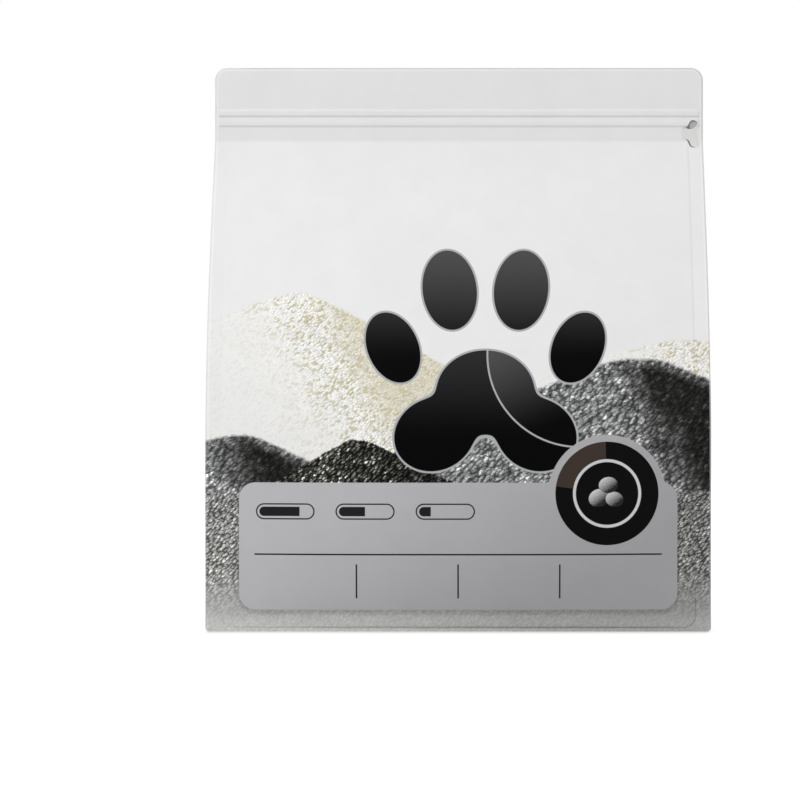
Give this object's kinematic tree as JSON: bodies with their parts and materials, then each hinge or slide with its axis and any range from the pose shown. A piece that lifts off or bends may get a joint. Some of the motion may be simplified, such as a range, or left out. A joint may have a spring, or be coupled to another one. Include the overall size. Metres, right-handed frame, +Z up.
{
  "type": "cat litter bag",
  "caption": "Full flat-bottomed zip pouch of cat litter, with framed heat seals, folded side gussets, a flat header and a die-cut tear tab.",
  "frame": {"origin": "on the floor, under the middle of the pouch", "axes": "+Z up to the header, +X to the right of the front panel, front panel facing -Y"},
  "size_m": [0.26, 0.1092, 0.296],
  "materials": {
    "pouch_film": "matt laminated film, printed",
    "tab_film": "matt laminated film"
  },
  "bodies": {
    "root": {"litter_pouch": "pouch_film", "tear_tab": "tab_film"}
  },
  "joints": []
}
